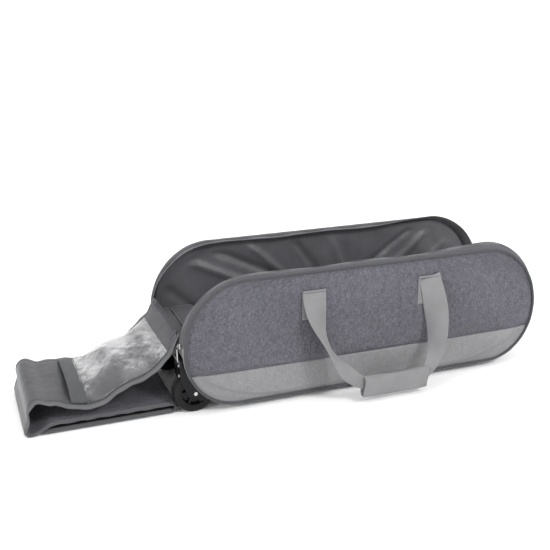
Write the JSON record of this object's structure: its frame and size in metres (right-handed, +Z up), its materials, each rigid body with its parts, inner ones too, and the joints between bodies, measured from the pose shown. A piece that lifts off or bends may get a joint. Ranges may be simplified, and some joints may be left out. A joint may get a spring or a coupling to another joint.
{
  "type": "portfolio case",
  "caption": "Long soft carrying case with rounded ends, wheels, webbing handles, and a zip-off lid strip that folds open onto the floor.",
  "frame": {"origin": "on the floor, at the centre of the open case's whole footprint", "axes": "+X along the case away from the wheels, +Y from front to back, +Z up"},
  "size_m": [0.9079, 0.334, 0.22],
  "materials": {
    "heather_fabric": "woven two-tone polyester, matte",
    "light_fabric": "woven light grey polyester, matte",
    "lining_nylon": "dark grey nylon with a soft sheen",
    "dark_binding": "dark tape and piping",
    "grey_webbing": "ribbed grey webbing",
    "clear_vinyl": "clear flexible vinyl, glossy",
    "black_plastic": "moulded black plastic, satin",
    "black_rubber": "black rubber, matte",
    "plated_steel": "bright plated steel",
    "stiff_board": "stiff plastic board"
  },
  "bodies": {
    "case": {"front_panel_upper": "heather_fabric", "back_panel_upper": "heather_fabric", "front_rim_flange": "heather_fabric", "back_rim_flange": "heather_fabric", "front_panel_band": "light_fabric", "back_panel_band": "light_fabric", "lower_gusset": "light_fabric", "front_panel_lining": "lining_nylon", "back_panel_lining": "lining_nylon", "gusset_lining": "lining_nylon", "floor_pad": "lining_nylon", "wheel_well_cover": "lining_nylon", "front_piping": "dark_binding", "back_piping": "dark_binding", "front_zipper_tape": "dark_binding", "back_zipper_tape": "dark_binding", "front_left_strap_patch": "grey_webbing", "front_right_strap_patch": "grey_webbing", "back_left_strap_patch": "grey_webbing", "back_right_strap_patch": "grey_webbing", "end_pull_handle": "grey_webbing", "front_wheel_housing": "black_plastic", "back_wheel_housing": "black_plastic", "front_foot": "black_rubber", "back_foot": "black_rubber", "front_axle": "plated_steel", "back_axle": "plated_steel", "front_rivet_upper": "plated_steel", "front_rivet_lower": "plated_steel", "back_rivet_upper": "plated_steel", "back_rivet_lower": "plated_steel", "front_slider": "plated_steel", "back_slider": "plated_steel", "base_board": "stiff_board"},
    "front_wheel": {"front_tyre": "black_rubber", "front_hub": "black_plastic"},
    "back_wheel": {"back_tyre": "black_rubber", "back_hub": "black_plastic"},
    "front_handle": {"front_strap": "grey_webbing", "front_grip_wrap": "grey_webbing"},
    "back_handle": {"back_strap": "grey_webbing", "back_grip_wrap": "grey_webbing"},
    "front_pull": {"front_slider_pull": "plated_steel"},
    "back_pull": {"back_slider_pull": "plated_steel"},
    "lid_1": {"lid_panel_1": "heather_fabric", "clear_pocket_1": "clear_vinyl"},
    "lid_2": {"lid_panel_2": "heather_fabric", "clear_pocket_2": "clear_vinyl", "pocket_hem": "light_fabric"},
    "lid_3": {"lid_panel_3": "heather_fabric"},
    "lid_4": {"lid_panel_4": "heather_fabric"},
    "lid_5": {"lid_panel_5": "heather_fabric"},
    "lid_6": {"lid_panel_6": "heather_fabric"},
    "lid_7": {"lid_panel_7": "heather_fabric"}
  },
  "joints": [
    {"name": "front_wheel_spin", "type": "hinge", "parent": "case", "child": "front_wheel", "pos_m": [-0.1902, -0.083, 0.034], "axis": [0, 1, 0], "continuous": true},
    {"name": "back_wheel_spin", "type": "hinge", "parent": "case", "child": "back_wheel", "pos_m": [-0.1902, 0.083, 0.034], "axis": [0, 1, 0], "continuous": true},
    {"name": "front_handle_swing", "type": "hinge", "parent": "case", "child": "front_handle", "pos_m": [0.1098, -0.1148, 0.1885], "axis": [-1, 0, 0], "range_deg": [0, 160]},
    {"name": "back_handle_swing", "type": "hinge", "parent": "case", "child": "back_handle", "pos_m": [0.1098, 0.1148, 0.1885], "axis": [1, 0, 0], "range_deg": [0, 160]},
    {"name": "front_pull_swing", "type": "hinge", "parent": "case", "child": "front_pull", "pos_m": [-0.2168, -0.0933, 0.113], "axis": [0, 1, 0], "range_deg": [0, 150]},
    {"name": "back_pull_swing", "type": "hinge", "parent": "case", "child": "back_pull", "pos_m": [-0.2168, 0.0933, 0.113], "axis": [0, 1, 0], "range_deg": [0, 150]},
    {"name": "lid_swing", "type": "hinge", "parent": "case", "child": "lid_1", "pos_m": [-0.2102, 0, 0.12], "axis": [0, 1, 0], "range_deg": [0, 154.5]},
    {"name": "lid_fold_2", "type": "hinge", "parent": "lid_1", "child": "lid_2", "pos_m": [-0.26668, 0, 0.06915], "axis": [0, 1, 0], "range_deg": [0, 22.5]},
    {"name": "lid_fold_3", "type": "hinge", "parent": "lid_2", "child": "lid_3", "pos_m": [-0.45148, 0, 0.05047], "axis": [0, 1, 0], "range_deg": [0, 93]},
    {"name": "lid_fold_4", "type": "hinge", "parent": "lid_3", "child": "lid_4", "pos_m": [-0.45148, 0, 0.01517], "axis": [0, 1, 0], "range_deg": [0, 90]},
    {"name": "lid_fold_5", "type": "hinge", "parent": "lid_4", "child": "lid_5", "pos_m": [-0.22528, 0, 0.00942], "axis": [0, 1, 0], "range_deg": [-180, 0]},
    {"name": "lid_fold_6", "type": "hinge", "parent": "lid_5", "child": "lid_6", "pos_m": [-0.29358, 0, 0.00367], "axis": [0, 1, 0], "range_deg": [0, 22.5]},
    {"name": "lid_fold_7", "type": "hinge", "parent": "lid_6", "child": "lid_7", "pos_m": [-0.36758, 0, 0.00367], "axis": [0, 1, 0], "range_deg": [0, 45]}
  ],
  "couplings": [
    {"joint": "lid_fold_2", "follows": "lid_swing", "ratio": 0.14563},
    {"joint": "lid_fold_3", "follows": "lid_swing", "ratio": 0.60194},
    {"joint": "lid_fold_4", "follows": "lid_swing", "ratio": 0.58252},
    {"joint": "lid_fold_5", "follows": "lid_swing", "ratio": -1.165},
    {"joint": "lid_fold_6", "follows": "lid_swing", "ratio": 0.14563},
    {"joint": "lid_fold_7", "follows": "lid_swing", "ratio": 0.29126}
  ]
}
